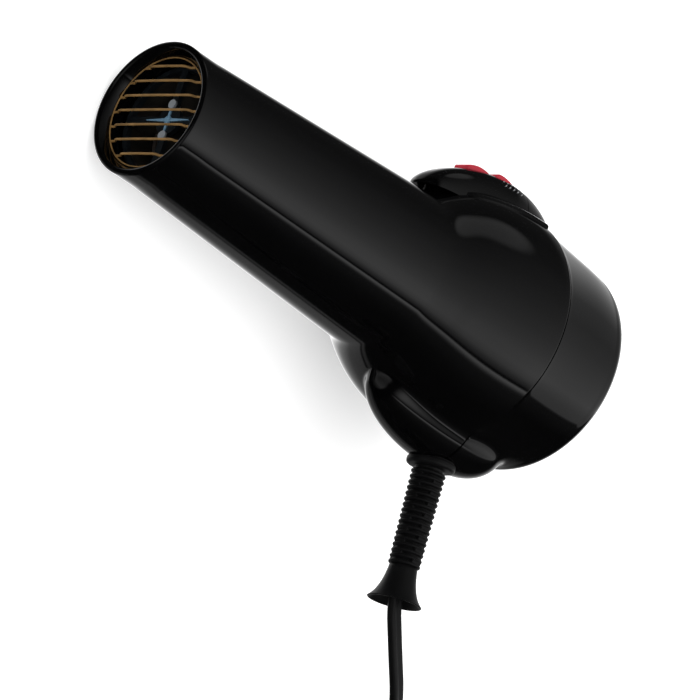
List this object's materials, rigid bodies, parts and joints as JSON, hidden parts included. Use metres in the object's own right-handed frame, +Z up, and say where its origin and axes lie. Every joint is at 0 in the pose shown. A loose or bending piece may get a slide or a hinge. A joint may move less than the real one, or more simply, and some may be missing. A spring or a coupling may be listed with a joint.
{
  "type": "hair dryer",
  "caption": "Handle-less barrel hair dryer lying on its side: two-piece fan housing, rocker switch pod, wire outlet grille, removable rear filter and a coiled mains lead.",
  "frame": {"origin": "centre of the footprint of the dryer without its free lead, on the surface that it lies on", "axes": "+X towards the air outlet, +Y towards the side where the lead leaves, +Z up from the surface; the barrel slopes down 6.3 degrees towards the outlet"},
  "size_m": [0.2811, 0.3282, 0.102],
  "materials": {
    "gloss_housing": "high gloss",
    "red_plastic": "satin",
    "gold_wire": "aged bronze wire",
    "dull_metal": "satin",
    "bright_metal": "bright",
    "mica": "layered mica",
    "resistance_wire": "heat-tinted",
    "brass": "satin",
    "matte_black": "fine grain",
    "black_rubber": "matte",
    "lead_jacket": "satin vinyl",
    "tie_strap": "woven hook and loop",
    "copper": "enamelled winding",
    "ferrite": "sintered",
    "brown_wire": "satin vinyl",
    "blue_wire": "satin vinyl",
    "circuit_board": "solder mask"
  },
  "bodies": {
    "dryer": {"front_housing": "gloss_housing", "rear_housing": "gloss_housing", "switch_pod": "gloss_housing", "switch_frame": "matte_black", "speed_rocker_pin": "bright_metal", "heat_rocker_pin": "bright_metal", "speed_switch_unit": "matte_black", "heat_switch_unit": "matte_black", "grille_ring": "gold_wire", "outlet_wires": "gold_wire", "element_bracket": "dull_metal", "bracket_rivets": "bright_metal", "heat_shield": "mica", "mica_board_upright": "mica", "mica_board_flat": "mica", "heating_coils": "resistance_wire", "thermostat": "bright_metal", "thermal_fuse": "brass", "motor_cradle": "matte_black", "motor_sleeve": "black_rubber", "motor_can": "dull_metal", "motor_end_cap": "matte_black", "motor_bearings": "brass", "field_magnets": "ferrite", "housing_screws": "bright_metal", "strain_relief": "black_rubber", "cord_clamp": "matte_black", "clamp_screws": "bright_metal", "live_wire": "brown_wire", "neutral_wire": "blue_wire", "lead_run": "lead_jacket", "lead_coil": "lead_jacket", "lead_tail": "lead_jacket", "lead_tie": "tie_strap", "plug_body": "matte_black", "plug_cover": "matte_black", "plug_blades": "brass", "plug_screws": "bright_metal", "plug_circuit_board": "circuit_board", "plug_relief": "black_rubber"},
    "fan_rotor": {"armature": "copper", "commutator": "brass", "motor_shaft": "bright_metal", "impeller": "matte_black", "impeller_nut": "bright_metal"},
    "speed_switch": {"speed_rocker": "red_plastic"},
    "heat_switch": {"heat_rocker": "red_plastic"},
    "filter_cover": {"rear_filter_cap": "matte_black", "filter_screen": "dull_metal"},
    "test_key": {"test_button": "matte_black"},
    "reset_key": {"reset_button": "red_plastic"}
  },
  "joints": [
    {"name": "fan_spin", "type": "hinge", "parent": "dryer", "child": "fan_rotor", "pos_m": [-0.07395, -0.02797, 0.05], "axis": [0.994, 0, -0.1097], "continuous": true},
    {"name": "speed_rocker_tilt", "type": "hinge", "parent": "dryer", "child": "speed_switch", "pos_m": [-0.05208, -0.08217, 0.04759], "axis": [0.1097, 0, 0.994], "range_deg": [-9, 9]},
    {"name": "heat_rocker_tilt", "type": "hinge", "parent": "dryer", "child": "heat_switch", "pos_m": [-0.06849, -0.08377, 0.0494], "axis": [0.1097, 0, 0.994], "range_deg": [0, 18]},
    {"name": "filter_twist", "type": "hinge", "parent": "dryer", "child": "filter_cover", "pos_m": [-0.11868, -0.02797, 0.05494], "axis": [0.994, 0, -0.1097], "range_deg": [0, 30]},
    {"name": "test_press", "type": "slide", "parent": "dryer", "child": "test_key", "axis": [0, -1, 0], "range_m": [0, 0.0015], "stiffness_N_per_m": 300, "springref_m": -0.002},
    {"name": "reset_press", "type": "slide", "parent": "dryer", "child": "reset_key", "axis": [0, -1, 0], "range_m": [0, 0.0015], "stiffness_N_per_m": 300, "springref_m": -0.002}
  ]
}
